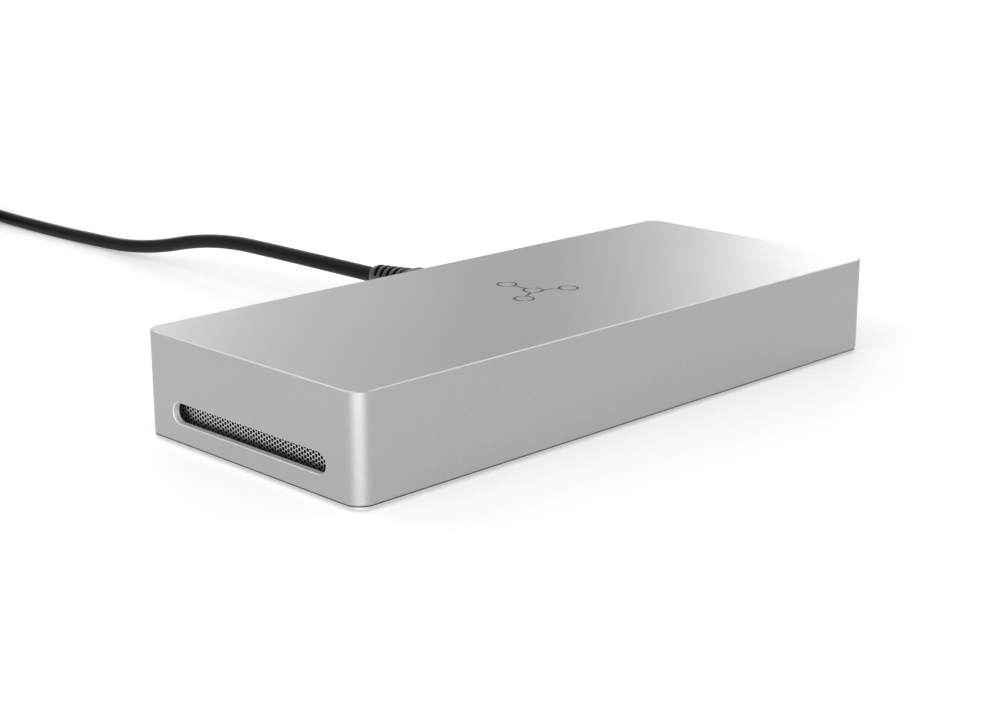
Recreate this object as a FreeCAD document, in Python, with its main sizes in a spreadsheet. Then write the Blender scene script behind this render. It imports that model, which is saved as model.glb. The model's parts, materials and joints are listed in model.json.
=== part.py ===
"""Laptop docking station: a slim aluminium housing with a vented end at each side, a row of ports along
its rear, a sprung power button, and a host cable that lies behind it and ends in a neat coil.

Millimetres. The origin is under the middle of the housing on the desk that its feet stand on: +X runs
along the housing, +Y points to the rear with the ports, and +Z is up.
"""
import FreeCAD, Part
import math
import os
import re

import Sketcher
from FreeCAD import Placement, Rotation, Vector

SIZES = {
    # Housing
    "body_length": 180.5,
    "body_width": 75.0,
    "body_top": 26.0,
    "corner_radius": 4.0,
    "edge_chamfer": 0.2,
    "wall": 1.6,
    "roof": 1.8,
    # Underside: feet on the desk, cover above them, a shadow gap, then the shell
    "foot_height": 0.6,
    "foot_recess": 0.4,
    "foot_length": 150.0,
    "foot_width": 8.0,
    "foot_offset": 23.0,
    "cover_rim": 0.5,
    "shadow_gap": 0.1,
    "cover_top": 2.6,
    "cover_clearance": 0.15,
    # Fixings
    "boss_x": 83.9,
    "boss_y": 28.5,
    "front_boss_y": 33.2,
    "boss_radius": 3.0,
    "pilot_radius": 1.0,
    "pilot_depth": 7.0,
    "screw_hole_radius": 1.1,
    "counterbore_radius": 2.1,
    "counterbore_depth": 0.9,
    "head_radius": 1.9,
    "head_height": 0.8,
    "shank_radius": 0.95,
    "shank_length": 6.5,
    "drive_radius": 0.9,
    "drive_depth": 0.45,
    "post_radius": 2.6,
    # End vents
    "vent_length": 54.1,
    "vent_height": 4.95,
    "vent_centre": 8.25,
    "vent_bevel": 0.2,
    "mesh_thick": 0.15,
    "mesh_hole": 0.88,
    "mesh_pitch": 1.08,
    "mesh_border": 1.6,
    "frame_thick": 1.3,
    "frame_border": 2.6,
    # Engraved hub emblem: a ring in the middle, and three rings on spokes
    "emblem_reach": 9.2,
    "emblem_ring": 2.7,
    "emblem_line": 0.62,
    "emblem_depth": 0.3,
    # Circuit board
    "board_length": 160.8,
    "board_front": 30.0,
    "board_rear": 34.6,
    "board_top": 11.7,
    "board_thick": 1.6,
    "board_corner": 1.5,
    "notch_gap": 0.4,
    "sheet_long": 154.0,
    "sheet_wide": 52.0,
    "sheet_thick": 0.25,
    "sheet_middle": 2.0,
    # Parts on the board's top
    "chip_thick": 1.2,
    "pad_thick": 0.6,
    "choke_side": 6.6,
    "choke_high": 3.0,
    "can_radius": 3.15,
    "can_high": 7.7,
    "spreader_middle": -10.0,
    "spreader_long": 70.0,
    "spreader_wide": 26.0,
    "spreader_thick": 2.5,
    "fin_thick": 1.2,
    "fin_short": 4.0,
    "fin_room": 0.4,
    # Ports, seen from the rear
    "port_level": 13.3,
    "port_setback": 0.6,
    "opening_gap": 0.25,
    "bracket_thick": 0.3,
    "bracket_inset": 0.1,
    "metal_skin": 0.3,
    "ethernet_place": -60.5,
    "ethernet_wide": 15.9,
    "ethernet_high": 13.4,
    "ethernet_deep": 21.0,
    "ethernet_mouth_wide": 11.8,
    "ethernet_mouth_high": 8.3,
    "ethernet_mouth_deep": 13.0,
    "hdmi_wide": 15.0,
    "hdmi_high": 5.6,
    "hdmi_deep": 11.5,
    "hdmi_shoulder_drop": 0.9,
    "hdmi_taper": 1.9,
    "hdmi_blade_wide": 11.4,
    "hdmi_blade_thick": 1.2,
    "hdmi_pitch": 22.5,
    "hdmi_place": -39.5,
    "usb_c_wide": 8.94,
    "usb_c_high": 3.16,
    "usb_c_deep": 7.4,
    "usb_c_blade_wide": 6.69,
    "usb_c_blade_thick": 0.7,
    "usb_c_place": 3.0,
    "host_place": 19.3,
    "usb_a_wide": 13.2,
    "usb_a_high": 15.4,
    "usb_a_deep": 17.6,
    "usb_a_mouth_high": 5.1,
    "usb_a_blade_wide": 11.1,
    "usb_a_blade_thick": 1.84,
    "usb_a_back_deep": 3.0,
    "usb_a_level_step": 7.6,
    "usb_a_place": 37.0,
    "usb_a_pitch": 17.5,
    "power_place": 69.0,
    "power_wide": 9.0,
    "power_high": 11.0,
    "power_deep": 13.0,
    "power_nose_radius": 4.0,
    "power_bore_radius": 3.1,
    "power_pin_radius": 1.25,
    "power_bore_deep": 9.5,
    "lock_place": -76.0,
    "lock_wide": 7.0,
    "lock_high": 3.0,
    # Power button
    "button_place": 79.0,
    "button_radius": 3.0,
    "button_gap": 0.1,
    "button_proud": 0.5,
    "button_flange": 3.8,
    "button_travel": 0.6,
    "button_deep": 2.6,
    "cap_rounding": 0.25,
    "flange_gap": 0.15,
    "flange_thick": 0.8,
    "stem_radius": 1.1,
    "stem_end": 2.9,
    "plunger_radius": 0.9,
    "plunger_long": 0.6,
    "switch_deep": 3.2,
    "switch_side": 3.2,
    # Host cable and its plugs
    "cable_radius": 2.2,
    "plug_wide": 11.4,
    "plug_high": 9.0,
    "plug_length": 28.5,
    "plug_gap": 0.2,
    "plug_tip": 6.65,
    "plug_tip_wide": 8.25,
    "plug_tip_high": 2.4,
    "boot_length": 16.1,
    "boot_root_wide": 9.6,
    "boot_root_high": 8.8,
    "boot_end_wide": 5.9,
    "boot_end_high": 6.8,
    "boot_end_rounding": 1.3,
    "boot_core": 2.5,
    "boot_core_corner": 1.2,
    "boot_spine": 0.9,
    "boot_slot": 1.4,
    "boot_pitch": 2.75,
    "boot_slot_first": 3.6,
    # Coil that the spare cable is stored in
    "coil_x": -11.6,
    "coil_y": 312.0,
    "coil_radius": 26.4,
    "tie_thick": 0.6,
    "tie_width": 6.0,
    "tie_slack": 0.3,
}

doc = FreeCAD.newDocument("docking_station")
sheet = doc.addObject("Spreadsheet::Sheet", "dims")
for row, (name, number) in enumerate(SIZES.items(), start=1):
    sheet.set(f"A{row}", name)
    sheet.set(f"B{row}", str(number))
    sheet.setAlias(f"B{row}", name)
doc.recompute()

nodes = []


# Formulas, sketches and features


def formula(text):
    """The same formula with each name of the sheet written as the sheet's own."""
    return re.sub(r"[a-z]\w*", lambda word: ("dims." if word[0] in SIZES else "") + word[0], str(text))


def value(text):
    """What a formula of the sheet's names comes to."""
    return float(sheet.evalExpression(formula(text)))


def bind(thing, prop, text):
    """Drive a property of an object by a formula."""
    thing.setExpression(prop, formula(text))


def place(thing, x, y, z):
    """Put an object at a point given by three formulas."""
    for axis, text in zip("xyz", (x, y, z)):
        bind(thing, f".Placement.Base.{axis}", text)


def node(thing):
    """Keep an object as one of the sub-parts."""
    nodes.append(thing)
    return thing


def body(name):
    return doc.addObject("PartDesign::Body", name)


def sketch_on(part, name, role, height):
    """A sketch on one of the body's origin planes, moved along that plane's normal."""
    sketch = part.newObject("Sketcher::SketchObject", name)
    plane = next(item for item in part.Origin.OriginFeatures if item.Role == role)
    sketch.AttachmentSupport = [(plane, "")]
    sketch.MapMode = "FlatFace"
    bind(sketch, ".AttachmentOffset.Base.z", height)
    return sketch


def dimension(sketch, kind, parts, text):
    """A dimensional constraint that follows a formula."""
    index = sketch.addConstraint(Sketcher.Constraint(kind, *parts, value(text)))
    bind(sketch, f"Constraints[{index}]", text)


def from_origin(sketch, geometry, point, x, y):
    """Hold one point of the sketch at (x, y)."""
    dimension(sketch, "DistanceX", (-1, 1, geometry, point), x)
    dimension(sketch, "DistanceY", (-1, 1, geometry, point), y)


def circle(sketch, x, y, radius):
    centre = Vector(value(x), value(y), 0)
    index = sketch.addGeometry(Part.Circle(centre, Vector(0, 0, 1), value(radius)))
    dimension(sketch, "Radius", (index,), radius)
    from_origin(sketch, index, 3, x, y)


def polygon(sketch, corners):
    """Straight lines that join the corners and close, with every corner held by two formulas."""
    points = [Vector(value(x), value(y), 0) for x, y in corners]
    first = sketch.GeometryCount
    for k, point in enumerate(points):
        sketch.addGeometry(Part.LineSegment(point, points[(k + 1) % len(points)]))
    for k, (x, y) in enumerate(corners):
        following = first + (k + 1) % len(points)
        sketch.addConstraint(Sketcher.Constraint("Coincident", first + k, 2, following, 1))
        from_origin(sketch, first + k, 1, x, y)


def rectangle(sketch, x, y, wide, high):
    left, right = (f"{x} {sign} ({wide}) / 2" for sign in "-+")
    low, top = (f"{y} {sign} ({high}) / 2" for sign in "-+")
    polygon(sketch, [(left, low), (right, low), (right, top), (left, top)])


def rounded(sketch, x, y, wide, high, radius):
    """A rectangle about (x, y) whose corners are tangent arcs."""
    half_x, half_y, r = value(wide) / 2, value(high) / 2, value(radius)
    middle = Vector(value(x), value(y), 0)
    first = sketch.GeometryCount
    for k in range(4):
        turn = Rotation(Vector(0, 0, 1), 90 * k)
        out, along = (half_y, half_x) if k % 2 == 0 else (half_x, half_y)
        start = middle + turn.multVec(Vector(r - along, -out, 0))
        end = middle + turn.multVec(Vector(along - r, -out, 0))
        centre = middle + turn.multVec(Vector(along - r, r - out, 0))
        corner = Part.Circle(centre, Vector(0, 0, 1), r)
        sketch.addGeometry(Part.LineSegment(start, end))
        sketch.addGeometry(Part.ArcOfCircle(corner, math.radians(90 * k - 90), math.radians(90 * k)))
    for k in range(4):
        side, corner, following = first + 2 * k, first + 2 * k + 1, first + (2 * k + 2) % 8
        sketch.addConstraint(Sketcher.Constraint("Tangent", side, 2, corner, 1))
        sketch.addConstraint(Sketcher.Constraint("Tangent", corner, 2, following, 1))
        sketch.addConstraint(Sketcher.Constraint("Vertical" if k % 2 else "Horizontal", side))
        if k:
            sketch.addConstraint(Sketcher.Constraint("Equal", first + 1, corner))
    dimension(sketch, "Radius", (first + 1,), radius)
    dimension(sketch, "DistanceX", (-1, 1, first + 2, 1), f"{x} + ({wide}) / 2")
    dimension(sketch, "DistanceX", (-1, 1, first + 6, 1), f"{x} - ({wide}) / 2")
    dimension(sketch, "DistanceY", (-1, 1, first + 4, 1), f"{y} + ({high}) / 2")
    dimension(sketch, "DistanceY", (-1, 1, first, 1), f"{y} - ({high}) / 2")


def stadium(sketch, x, y, wide, high):
    """A slot with round ends about (x, y)."""
    reach, r = (value(wide) - value(high)) / 2, value(high) / 2
    middle = Vector(value(x), value(y), 0)
    first = sketch.GeometryCount
    for side in (1, -1):
        end = middle + Vector(side * reach, 0, 0)
        start = math.radians(-90 * side)
        near = middle + Vector(-side * reach, -side * r, 0)
        sketch.addGeometry(Part.LineSegment(near, end + Vector(0, -side * r, 0)))
        sketch.addGeometry(Part.ArcOfCircle(Part.Circle(end, Vector(0, 0, 1), r), start, start + math.pi))
    for k in range(4):
        sketch.addConstraint(Sketcher.Constraint("Tangent", first + k, 2, first + (k + 1) % 4, 1))
    sketch.addConstraint(Sketcher.Constraint("Horizontal", first))
    dimension(sketch, "Radius", (first + 1,), f"({high}) / 2")
    from_origin(sketch, first + 1, 3, f"{x} + ({wide} - ({high})) / 2", y)
    dimension(sketch, "DistanceX", (first + 3, 3, first + 1, 3), f"{wide} - ({high})")


def pad(part, name, sketch, length, backwards=False):
    feature = part.newObject("PartDesign::Pad", name)
    feature.Profile = sketch
    feature.Reversed = backwards
    bind(feature, "Length", length)
    doc.recompute()
    return feature


def pocket(part, name, sketch, length, against_normal=True):
    """Cut a sketch into the body; a cut that removes nothing is an error."""
    before = part.Shape.Volume
    feature = part.newObject("PartDesign::Pocket", name)
    feature.Profile = sketch
    feature.Reversed = not against_normal
    bind(feature, "Length", length)
    doc.recompute()
    if part.Shape.Volume > before - 1e-6:
        raise RuntimeError(f"{part.Name}.{name} cuts nothing")
    return feature


def dress(part, kind, name, base, edges, prop, size):
    """A fillet or a chamfer on the named edges or faces of the base feature."""
    feature = part.newObject(f"PartDesign::{kind}", name)
    feature.Base = (base, edges)
    bind(feature, prop, size)
    doc.recompute()
    return feature


def edge_names(feature, wanted):
    """Names of the feature's edges that the test picks."""
    return [f"Edge{k}" for k, edge in enumerate(feature.Shape.Edges, start=1) if wanted(edge)]


def block(name, size, centre_x, centre_y, low_z):
    """A box with its sizes, its middle in plan and its underside given by formulas."""
    box = doc.addObject("Part::Box", name)
    for prop, text in zip(("Length", "Width", "Height"), size):
        bind(box, prop, text)
    place(box, f"{centre_x} - ({size[0]}) / 2", f"{centre_y} - ({size[1]}) / 2", low_z)
    return box


def compound(name, things):
    """Several like pieces that are separate solids of one sub-part."""
    group = doc.addObject("Part::Compound", name)
    group.Links = things
    return group


def copies(name, original, points):
    """Copies of one small part at several points, as separate solids of one sub-part."""
    doc.recompute()
    group = doc.addObject("Part::Feature", name)
    group.Shape = Part.makeCompound([original.Shape.translated(point) for point in points])
    return group


# Housing

REAR = "body_width / 2"
REAR_INSIDE = "body_width / 2 - wall"
PORT_FACE = "body_width / 2 - port_setback"
SHELL_BOTTOM = "foot_height + cover_rim + shadow_gap"
CEILING = "body_top - roof"
BOSSES = [(f"{side} * boss_x", f"{end} * boss_y") for side in (-1, 1) for end in (-1, 1)]
BOSSES.append(("0", "-front_boss_y"))
POSTS = [("-73", "-22"), ("73", "-22"), ("-47", "8"), ("47", "8")]
HDMI_PLACES = {"left": "hdmi_place", "right": "hdmi_place + hdmi_pitch"}
USB_A_PLACES = {"left": "usb_a_place", "right": "usb_a_place + usb_a_pitch"}
USB_C_PLACES = {"data": "usb_c_place", "host": "host_place"}
BOOT_SLOTS = 5
FINS = 9
CHIPS = [("0", "-10", "16"), ("-23", "-8", "10"), ("22", "-12", "12"), ("-22", "-19", "6")]
CHOKES = [("56", "-24"), ("65", "-24"), ("56", "-15")]
CANS = [("-64", "-6"), ("-56", "-6"), ("-48", "-6"), ("-40", "-6")]
CONTACTS = 8
CONTACT_PITCH = 1.02


def rear_openings(sketch, level, gap, button_hole):
    """The outlines that the connectors, the lock slot and the button need in a wall."""
    ethernet_size = (f"ethernet_wide + 2 * {gap}", f"ethernet_high + 2 * {gap}")
    rounded(sketch, "ethernet_place", level, *ethernet_size, "0.5")
    for x in HDMI_PLACES.values():
        rounded(sketch, x, level, f"hdmi_wide + 2 * {gap}", f"hdmi_high + 2 * {gap}", "0.3")
    for x in USB_C_PLACES.values():
        stadium(sketch, x, level, f"usb_c_wide + 2 * {gap}", f"usb_c_high + 2 * {gap}")
    for x in USB_A_PLACES.values():
        rounded(sketch, x, level, f"usb_a_wide + 2 * {gap}", f"usb_a_high + 2 * {gap}", "0.5")
    circle(sketch, "power_place", level, f"power_nose_radius + {gap}")
    circle(sketch, "button_place", level, button_hole)
    stadium(sketch, "lock_place", level, "lock_wide", "lock_high")


def emblem(part):
    """A generic hub sign cut into the top: a ring in the middle and three rings on spokes round it."""
    middle = sketch_on(part, "emblem_middle", "XY_Plane", "body_top")
    circle(middle, "0", "0", "emblem_ring")
    circle(middle, "0", "0", "emblem_ring - emblem_line")
    pocket(part, "emblem_middle_cut", middle, "emblem_depth")
    ring = sketch_on(part, "emblem_outer_ring", "XY_Plane", "body_top")
    circle(ring, "0", "emblem_reach", "emblem_ring")
    circle(ring, "0", "emblem_reach", "emblem_ring - emblem_line")
    ring_cut = pocket(part, "emblem_outer_cut", ring, "emblem_depth")
    spoke = sketch_on(part, "emblem_spoke", "XY_Plane", "body_top")
    spoke_length = "emblem_reach - 2 * emblem_ring + emblem_line"
    rectangle(spoke, "0", "emblem_reach / 2", "emblem_line", spoke_length)
    spoke_cut = pocket(part, "emblem_spoke_cut", spoke, "emblem_depth")
    turned = part.newObject("PartDesign::PolarPattern", "emblem_turned")
    turned.Originals = [ring_cut, spoke_cut]
    turned.Axis = (ring, ["N_Axis"])
    turned.Angle = 360
    turned.Occurrences = 3
    part.Tip = turned
    doc.recompute()


def housing_shell():
    """One-piece shell, open underneath, with its bosses and board posts hanging from the roof."""
    part = node(body("housing_shell"))
    outline = sketch_on(part, "shell_outline", "XY_Plane", SHELL_BOTTOM)
    rounded(outline, "0", "0", "body_length", "body_width", "corner_radius")
    blank = pad(part, "shell_blank", outline, f"body_top - ({SHELL_BOTTOM})")
    roof_edges = edge_names(blank, lambda edge: edge.BoundBox.ZMin > value("body_top") - 0.01)
    dress(part, "Chamfer", "roof_chamfer", blank, roof_edges, "Size", "edge_chamfer")
    cavity = sketch_on(part, "shell_cavity", "XY_Plane", SHELL_BOTTOM)
    rounded(cavity, "0", "0", "body_length - 2 * wall", "body_width - 2 * wall", "corner_radius - wall")
    pocket(part, "cavity_cut", cavity, f"{CEILING} - ({SHELL_BOTTOM})", against_normal=False)
    for name, places, radius, low in (
        ("boss", BOSSES, "boss_radius", "cover_top"),
        ("post", POSTS, "post_radius", "board_top"),
    ):
        outside = sketch_on(part, f"{name}_outlines", "XY_Plane", low)
        pilots = sketch_on(part, f"{name}_pilots", "XY_Plane", low)
        for x, y in places:
            circle(outside, x, y, radius)
            circle(pilots, x, y, "pilot_radius")
        pad(part, f"{name}_pads", outside, f"{CEILING} + roof / 2 - {low}")
        pocket(part, f"{name}_holes", pilots, "pilot_depth", against_normal=False)
    ends = {"left": ("-body_length / 2", False), "right": ("body_length / 2", True)}
    for side, (x, against_normal) in ends.items():
        vent = sketch_on(part, f"vent_{side}", "YZ_Plane", x)
        stadium(vent, "0", "vent_centre", "vent_length", "vent_height")
        cut = pocket(part, f"vent_{side}_cut", vent, "wall + 0.2", against_normal)
        mouth = edge_names(cut, lambda edge, x=x: vent_mouth(edge, value(x)))
        dress(part, "Chamfer", f"vent_{side}_bevel", cut, mouth, "Size", "vent_bevel")
    rear = sketch_on(part, "rear_openings", "XZ_Plane", f"-({REAR})")
    rear_openings(rear, "port_level", "opening_gap", "button_radius + button_gap")
    pocket(part, "rear_cut", rear, "wall + 0.2", against_normal=False)
    emblem(part)


def vent_mouth(edge, x):
    """Whether an edge lies on the outer rim of the vent slot in the end wall at x."""
    box = edge.BoundBox
    return abs(box.XMin - x) < 0.01 and abs(box.XMax - x) < 0.01 and box.ZMax < value("body_top / 2")


def bottom_cover():
    """Base plate: a thin rim as large as the housing, and a thicker middle that fits inside its walls."""
    part = node(body("bottom_cover"))
    rim = sketch_on(part, "cover_rim_outline", "XY_Plane", "foot_height")
    rounded(rim, "0", "0", "body_length", "body_width", "corner_radius")
    pad(part, "cover_rim_pad", rim, "cover_rim")
    inner = sketch_on(part, "cover_middle_outline", "XY_Plane", "foot_height")
    inset = "2 * (wall + cover_clearance)"
    corner = "corner_radius - wall - cover_clearance"
    rounded(inner, "0", "0", f"body_length - {inset}", f"body_width - {inset}", corner)
    pad(part, "cover_middle_pad", inner, "cover_top - foot_height")
    holes = sketch_on(part, "cover_holes", "XY_Plane", "foot_height")
    heads = sketch_on(part, "cover_counterbores", "XY_Plane", "foot_height")
    for x, y in BOSSES:
        circle(holes, x, y, "screw_hole_radius")
        circle(heads, x, y, "counterbore_radius")
    pocket(part, "cover_holes_cut", holes, "cover_top", against_normal=False)
    pocket(part, "cover_counterbores_cut", heads, "counterbore_depth", against_normal=False)
    grooves = sketch_on(part, "foot_grooves", "XY_Plane", "foot_height")
    for side in (-1, 1):
        stadium(grooves, "0", f"{side} * foot_offset", "foot_length", "foot_width")
    pocket(part, "foot_grooves_cut", grooves, "foot_recess", against_normal=False)


def foot_strip(name, side):
    """A rubber strip glued in its groove; its lower edge is rounded."""
    part = node(body(name))
    outline = sketch_on(part, f"{name}_outline", "XY_Plane", "0")
    stadium(outline, "0", f"{side} * foot_offset", "foot_length - 0.2", "foot_width - 0.2")
    strip = pad(part, f"{name}_pad", outline, "foot_height + foot_recess")
    lower = edge_names(strip, lambda edge: edge.BoundBox.ZMax < 0.01)
    dress(part, "Fillet", f"{name}_rounding", strip, lower, "Radius", "foot_height / 2")


def small_screw():
    """A pan-head screw with a six-sided drive, its head's underside at the origin and its shank upward."""
    part = body("screw_pattern")
    head = sketch_on(part, "screw_head", "XY_Plane", "-head_height")
    circle(head, "0", "0", "head_radius")
    pad(part, "screw_head_pad", head, "head_height")
    shank = sketch_on(part, "screw_shank", "XY_Plane", "0")
    circle(shank, "0", "0", "shank_radius")
    pad(part, "screw_shank_pad", shank, "shank_length")
    drive = sketch_on(part, "screw_drive", "XY_Plane", "-head_height")
    side = "drive_radius * 0.866"
    half = "drive_radius / 2"
    polygon(drive, [("drive_radius", "0"), (half, side), (f"-{half}", side), ("-drive_radius", "0"),
                    (f"-{half}", f"-{side}"), (half, f"-{side}")])
    pocket(part, "screw_drive_cut", drive, "drive_depth", against_normal=False)
    return part


def screws():
    """The screws that hold the cover to the bosses, and those that hold the board to its posts."""
    pattern = small_screw()
    cover_level = value("foot_height + counterbore_depth")
    board_level = value("board_top - board_thick")
    node(copies("cover_screws", pattern, [Vector(value(x), value(y), cover_level) for x, y in BOSSES]))
    node(copies("board_screws", pattern, [Vector(value(x), value(y), board_level) for x, y in POSTS]))


# End vents


def mesh_sheet(name, x_low):
    """Perforated sheet behind a vent slot: round holes in staggered columns, inside a plain border."""
    pitch, radius = value("mesh_pitch"), value("mesh_hole") / 2
    column = pitch * math.sqrt(3) / 2
    half_y = value("vent_length") / 2 + value("mesh_border")
    half_z = value("vent_height") / 2 + value("mesh_border")
    across = int((half_y - value("mesh_border") / 2) / column)
    up = int((half_z - value("mesh_border") / 2) / pitch)
    start = Vector(x_low, -half_y, value("vent_centre") - half_z)
    steps = ((0, 0), (2 * half_y, 0), (2 * half_y, 2 * half_z), (0, 2 * half_z))
    corners = [start + Vector(0, y, z) for y, z in steps]
    wires = [Part.makePolygon(corners + corners[:1])]
    for i in range(-across, across + 1):
        stagger = i % 2
        for j in range(-up, up + 1 - stagger):
            centre = Vector(x_low, i * column, value("vent_centre") + (j + stagger / 2) * pitch)
            wires.append(Part.Wire(Part.makeCircle(radius, centre, Vector(1, 0, 0))))
    sheet_face = Part.makeFace(wires, "Part::FaceMakerBullseye")
    thing = node(doc.addObject("Part::Feature", name))
    thing.Shape = sheet_face.extrude(Vector(value("mesh_thick"), 0, 0))


def mesh_frame(name, x_low):
    """Moulded frame between the end wall and its mesh sheet."""
    part = node(body(name))
    outline = sketch_on(part, f"{name}_outline", "YZ_Plane", x_low)
    outer_y = "vent_length + 2 * frame_border"
    outer_z = "vent_height + 2 * frame_border - 0.6"
    rounded(outline, "0", "vent_centre", outer_y, outer_z, "1.2")
    stadium(outline, "0", "vent_centre", "vent_length + 0.6", "vent_height + 0.6")
    pad(part, f"{name}_pad", outline, "frame_thick")


def vents():
    """Behind each end wall a black frame, and behind the frame a mesh sheet, deep in its slot."""
    mesh_frame("mesh_frame_left", "wall - body_length / 2")
    mesh_frame("mesh_frame_right", "body_length / 2 - wall - frame_thick")
    mesh_sheet("vent_mesh_left", value("wall + frame_thick - body_length / 2"))
    mesh_sheet("vent_mesh_right", value("body_length / 2 - wall - frame_thick - mesh_thick"))


# Circuit board and what stands on it


def main_board():
    """The board, with notches where the deep connectors sit in its thickness."""
    part = node(body("main_board"))
    outline = sketch_on(part, "board_outline", "XY_Plane", "board_top - board_thick")
    middle_y = "(board_rear - board_front) / 2"
    rounded(outline, "0", middle_y, "board_length", "board_front + board_rear", "board_corner")
    pad(part, "board_pad", outline, "board_thick")
    holes = sketch_on(part, "board_holes", "XY_Plane", "board_top")
    for x, y in POSTS:
        circle(holes, x, y, "screw_hole_radius")
    pocket(part, "board_holes_cut", holes, "2 * board_thick")
    deep = [("ethernet_place", "ethernet_wide", "ethernet_deep")]
    deep += [(x, "hdmi_wide", "hdmi_deep") for x in HDMI_PLACES.values()]
    deep += [(x, "usb_a_wide", "usb_a_deep") for x in USB_A_PLACES.values()]
    deep.append(("power_place", "power_wide", "power_deep"))
    deep.append(("button_place", "2 * button_flange", "button_deep"))
    notches = sketch_on(part, "board_notches", "XY_Plane", "board_top")
    for x, wide, length in deep:
        inner = f"{PORT_FACE} - {length} - notch_gap"
        half = f"({wide} / 2 + notch_gap)"
        left, right = f"{x} - {half}", f"{x} + {half}"
        outside = "board_rear + 1"
        polygon(notches, [(left, inner), (right, inner), (right, outside), (left, outside)])
    pocket(part, "board_notches_cut", notches, "2 * board_thick")


def heat_spreader():
    """Extruded aluminium block over the chips, with upright fins under the roof."""
    part = node(body("heat_spreader"))
    level = "board_top + chip_thick + pad_thick"
    base = sketch_on(part, "spreader_base", "XY_Plane", level)
    rounded(base, "0", "spreader_middle", "spreader_long", "spreader_wide", "1")
    pad(part, "spreader_base_pad", base, "spreader_thick")
    fin = sketch_on(part, "spreader_fin", "XY_Plane", level)
    first_fin = "spreader_middle - (spreader_wide - fin_thick) / 2"
    rectangle(fin, "0", first_fin, "spreader_long - fin_short", "fin_thick")
    fin_pad = pad(part, "spreader_fin_pad", fin, f"{CEILING} - fin_room - ({level})")
    fins = part.newObject("PartDesign::LinearPattern", "spreader_fins")
    fins.Originals = [fin_pad]
    fins.Direction = (base, ["V_Axis"])
    fins.Length = value("spreader_wide - fin_thick")
    fins.Occurrences = FINS
    part.Tip = fins
    doc.recompute()


def board_components():
    """Chips, their thermal pads, inductors and capacitors: blocks and cans on the board's top."""
    top = "board_top"
    packages, pads, chokes, cans = [], [], [], []
    for k, (x, y, side) in enumerate(CHIPS):
        packages.append(block(f"chip_{k}", (side, side, "chip_thick"), x, y, top))
        pad_size = (f"{side} - 1", f"{side} - 1", "pad_thick")
        pads.append(block(f"pad_{k}", pad_size, x, y, f"{top} + chip_thick"))
    for k, (x, y) in enumerate(CHOKES):
        chokes.append(block(f"choke_{k}", ("choke_side", "choke_side", "choke_high"), x, y, top))
    for k, (x, y) in enumerate(CANS):
        can = doc.addObject("Part::Cylinder", f"can_{k}")
        bind(can, "Radius", "can_radius")
        bind(can, "Height", "can_high")
        place(can, x, y, top)
        cans.append(can)
    node(compound("controller_chips", packages))
    node(compound("thermal_pads", pads))
    node(compound("power_inductors", chokes))
    node(compound("electrolytic_capacitors", cans))


def insulating_sheet():
    """Thin polyester sheet between the board's underside and the metal cover."""
    part = node(body("insulating_sheet"))
    outline = sketch_on(part, "sheet_outline", "XY_Plane", "cover_top")
    rounded(outline, "0", "sheet_middle", "sheet_long", "sheet_wide", "2")
    pad(part, "sheet_pad", outline, "sheet_thick")


def port_bracket():
    """Thin steel plate just inside the rear wall that the connector shells are earthed to."""
    part = node(body("port_bracket"))
    face = sketch_on(part, "bracket_face", "XZ_Plane", f"-({REAR_INSIDE} - bracket_inset)")
    rounded(face, "0", "port_level", "body_length - 2 * wall - 6", "body_top - 7.6", "0.8")
    pad(part, "bracket_pad", face, "bracket_thick")
    holes = sketch_on(part, "bracket_openings", "XZ_Plane", f"-({REAR_INSIDE} - bracket_inset)")
    rear_openings(holes, "port_level", "0.15", "button_flange + 0.3")
    pocket(part, "bracket_openings_cut", holes, "4 * bracket_thick", against_normal=False)


# Connectors: each starts at the port face and runs forward into the housing


def tube_shell(name, draw_outside, draw_inside, length):
    """A drawn metal shell, open at the port face, with a closed back."""
    part = node(body(name))
    outside = sketch_on(part, f"{name}_outside", "XZ_Plane", f"-({PORT_FACE})")
    draw_outside(outside)
    pad(part, f"{name}_pad", outside, length)
    inside = sketch_on(part, f"{name}_inside", "XZ_Plane", f"-({PORT_FACE})")
    draw_inside(inside)
    pocket(part, f"{name}_bore", inside, f"{length} - metal_skin", against_normal=False)


def tongue(name, draw_back, back, length, draw_blade, setback):
    """Moulded insert of a connector: a block at the back of the shell and the blades that stand from it."""
    part = node(body(name))
    inner_face = f"{PORT_FACE} - {length} + metal_skin"
    base = sketch_on(part, f"{name}_base", "XZ_Plane", f"-({inner_face} + {back})")
    draw_back(base)
    pad(part, f"{name}_base_pad", base, back)
    blade = sketch_on(part, f"{name}_blade", "XZ_Plane", f"-({PORT_FACE} - {setback})")
    draw_blade(blade)
    pad(part, f"{name}_blade_pad", blade, f"{length} - metal_skin - {setback} - {back} / 2")


def usb_c_port(name, x):
    wide, high = "usb_c_wide - 2 * metal_skin", "usb_c_high - 2 * metal_skin"
    tube_shell(
        f"usb_c_shell_{name}",
        lambda sketch: stadium(sketch, x, "port_level", "usb_c_wide", "usb_c_high"),
        lambda sketch: stadium(sketch, x, "port_level", wide, high),
        "usb_c_deep",
    )
    tongue(
        f"usb_c_tongue_{name}",
        lambda sketch: stadium(sketch, x, "port_level", f"{wide} - 0.06", f"{high} - 0.06"),
        "0.8",
        "usb_c_deep",
        lambda sketch: rounded(sketch, x, "port_level", "usb_c_blade_wide", "usb_c_blade_thick", "0.15"),
        "1.3",
    )


def hdmi_outline(sketch, x, wide, high):
    """The flat-topped outline of the port, narrower along its lower edge."""
    half, half_high = f"({wide}) / 2", f"({high}) / 2"
    top, low = f"port_level + {half_high}", f"port_level - {half_high}"
    shoulder = "port_level - hdmi_shoulder_drop"
    left, right = f"{x} - {half}", f"{x} + {half}"
    polygon(sketch, [(f"{left} + hdmi_taper", low), (f"{right} - hdmi_taper", low), (right, shoulder),
                     (right, top), (left, top), (left, shoulder)])


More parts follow.
